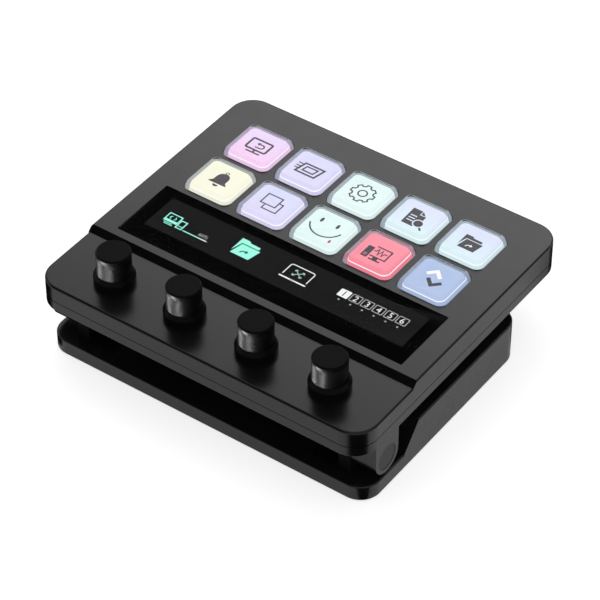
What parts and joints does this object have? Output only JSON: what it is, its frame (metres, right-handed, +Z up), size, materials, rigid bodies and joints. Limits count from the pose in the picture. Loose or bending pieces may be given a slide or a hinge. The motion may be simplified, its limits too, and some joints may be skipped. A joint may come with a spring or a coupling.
{
  "type": "macro keypad with knobs",
  "caption": "Desk keypad with clear picture keys, a glass display strip and a row of push knobs, hinged to a low stand that tilts.",
  "frame": {"origin": "middle of the console's outline, on the surface that the feet rest on", "axes": "+X to the right as the user sees it, +Y away from the user, +Z up"},
  "size_m": [0.14, 0.1266, 0.0493],
  "materials": {
    "case_plastic": "charcoal moulded plastic with a satin fine grain",
    "bottom_plastic": "black moulded plastic, fine grain",
    "foot_rubber": "soft matt black rubber",
    "dark_screw": "black oxide screw",
    "plain_steel": "plain zinc-plated steel",
    "hinge_steel": "black painted steel",
    "washer_brass": "plain brass",
    "cap_plastic": "warm dark grey plug, satin",
    "board_green": "green solder mask",
    "port_steel": "drawn steel shell",
    "switch_plastic": "black switch housing",
    "collar_plastic": "smooth black, semi-gloss",
    "strip_glass": "polished black cover glass",
    "panel_black": null,
    "clear_cap": "clear polished acrylic",
    "picture_screen": null,
    "pusher_plastic": "natural nylon",
    "knob_black": "black anodised look with a fine diamond knurl and a smooth rim"
  },
  "bodies": {
    "stand": {"stand_base": "case_plastic", "stand_bottom": "bottom_plastic", "stand_weight": "plain_steel", "rubber_feet": "foot_rubber", "stand_screws": "dark_screw", "hinge_bracket_left": "hinge_steel", "hinge_bracket_right": "hinge_steel", "bracket_screws": "plain_steel", "hinge_pin_left": "plain_steel", "hinge_pin_right": "plain_steel", "friction_washers": "washer_brass"},
    "console": {"bottom_case": "case_plastic", "top_cover": "case_plastic", "pin_cap_left": "cap_plastic", "pin_cap_right": "cap_plastic", "case_screws": "dark_screw", "main_board": "board_green", "board_screws": "plain_steel", "usb_socket": "port_steel", "key_switches": "switch_plastic", "encoder_bodies": "plain_steel", "knob_collars": "collar_plastic", "strip_glass": "strip_glass", "strip_display": "panel_black", "strip_bracket": "plain_steel", "strip_screws": "plain_steel"},
    "key_1": {"keycap_1": "clear_cap", "key_screen_1": "picture_screen"},
    "key_2": {"keycap_2": "clear_cap", "key_screen_2": "picture_screen"},
    "key_3": {"keycap_3": "clear_cap", "key_screen_3": "picture_screen"},
    "key_4": {"keycap_4": "clear_cap", "key_screen_4": "picture_screen"},
    "key_5": {"keycap_5": "clear_cap", "key_screen_5": "picture_screen"},
    "key_6": {"keycap_6": "clear_cap", "key_screen_6": "picture_screen"},
    "key_7": {"keycap_7": "clear_cap", "key_screen_7": "picture_screen"},
    "key_8": {"keycap_8": "clear_cap", "key_screen_8": "picture_screen"},
    "key_9": {"keycap_9": "clear_cap", "key_screen_9": "picture_screen"},
    "key_10": {"keycap_10": "clear_cap", "key_screen_10": "picture_screen"},
    "push_1": {"encoder_pusher_1": "pusher_plastic"},
    "push_2": {"encoder_pusher_2": "pusher_plastic"},
    "push_3": {"encoder_pusher_3": "pusher_plastic"},
    "push_4": {"encoder_pusher_4": "pusher_plastic"},
    "dial_1": {"encoder_shaft_1": "plain_steel", "knob_1": "knob_black"},
    "dial_2": {"encoder_shaft_2": "plain_steel", "knob_2": "knob_black"},
    "dial_3": {"encoder_shaft_3": "plain_steel", "knob_3": "knob_black"},
    "dial_4": {"encoder_shaft_4": "plain_steel", "knob_4": "knob_black"}
  },
  "joints": [
    {"name": "tilt_hinge", "type": "hinge", "parent": "stand", "child": "console", "pos_m": [0, -0.0476, 0.0159], "axis": [1, 0, 0], "range_deg": [0, 50]},
    {"name": "key_press_1", "type": "slide", "parent": "console", "child": "key_1", "axis": [0, 0, -1], "range_m": [0, 0.0012], "stiffness_N_per_m": 400, "springref_m": -0.0006},
    {"name": "key_press_2", "type": "slide", "parent": "console", "child": "key_2", "axis": [0, 0, -1], "range_m": [0, 0.0012], "stiffness_N_per_m": 400, "springref_m": -0.0006},
    {"name": "key_press_3", "type": "slide", "parent": "console", "child": "key_3", "axis": [0, 0, -1], "range_m": [0, 0.0012], "stiffness_N_per_m": 400, "springref_m": -0.0006},
    {"name": "key_press_4", "type": "slide", "parent": "console", "child": "key_4", "axis": [0, 0, -1], "range_m": [0, 0.0012], "stiffness_N_per_m": 400, "springref_m": -0.0006},
    {"name": "key_press_5", "type": "slide", "parent": "console", "child": "key_5", "axis": [0, 0, -1], "range_m": [0, 0.0012], "stiffness_N_per_m": 400, "springref_m": -0.0006},
    {"name": "key_press_6", "type": "slide", "parent": "console", "child": "key_6", "axis": [0, 0, -1], "range_m": [0, 0.0012], "stiffness_N_per_m": 400, "springref_m": -0.0006},
    {"name": "key_press_7", "type": "slide", "parent": "console", "child": "key_7", "axis": [0, 0, -1], "range_m": [0, 0.0012], "stiffness_N_per_m": 400, "springref_m": -0.0006},
    {"name": "key_press_8", "type": "slide", "parent": "console", "child": "key_8", "axis": [0, 0, -1], "range_m": [0, 0.0012], "stiffness_N_per_m": 400, "springref_m": -0.0006},
    {"name": "key_press_9", "type": "slide", "parent": "console", "child": "key_9", "axis": [0, 0, -1], "range_m": [0, 0.0012], "stiffness_N_per_m": 400, "springref_m": -0.0006},
    {"name": "key_press_10", "type": "slide", "parent": "console", "child": "key_10", "axis": [0, 0, -1], "range_m": [0, 0.0012], "stiffness_N_per_m": 400, "springref_m": -0.0006},
    {"name": "knob_push_1", "type": "slide", "parent": "console", "child": "push_1", "axis": [0, 0, -1], "range_m": [0, 0.0005], "stiffness_N_per_m": 3000, "springref_m": -0.0005},
    {"name": "knob_push_2", "type": "slide", "parent": "console", "child": "push_2", "axis": [0, 0, -1], "range_m": [0, 0.0005], "stiffness_N_per_m": 3000, "springref_m": -0.0005},
    {"name": "knob_push_3", "type": "slide", "parent": "console", "child": "push_3", "axis": [0, 0, -1], "range_m": [0, 0.0005], "stiffness_N_per_m": 3000, "springref_m": -0.0005},
    {"name": "knob_push_4", "type": "slide", "parent": "console", "child": "push_4", "axis": [0, 0, -1], "range_m": [0, 0.0005], "stiffness_N_per_m": 3000, "springref_m": -0.0005},
    {"name": "knob_turn_1", "type": "hinge", "parent": "push_1", "child": "dial_1", "pos_m": [-0.04612, -0.0475, 0.04], "axis": [0, 0, 1], "continuous": true},
    {"name": "knob_turn_2", "type": "hinge", "parent": "push_2", "child": "dial_2", "pos_m": [-0.01537, -0.0475, 0.04], "axis": [0, 0, 1], "continuous": true},
    {"name": "knob_turn_3", "type": "hinge", "parent": "push_3", "child": "dial_3", "pos_m": [0.01537, -0.0475, 0.04], "axis": [0, 0, 1], "continuous": true},
    {"name": "knob_turn_4", "type": "hinge", "parent": "push_4", "child": "dial_4", "pos_m": [0.04612, -0.0475, 0.04], "axis": [0, 0, 1], "continuous": true}
  ]
}
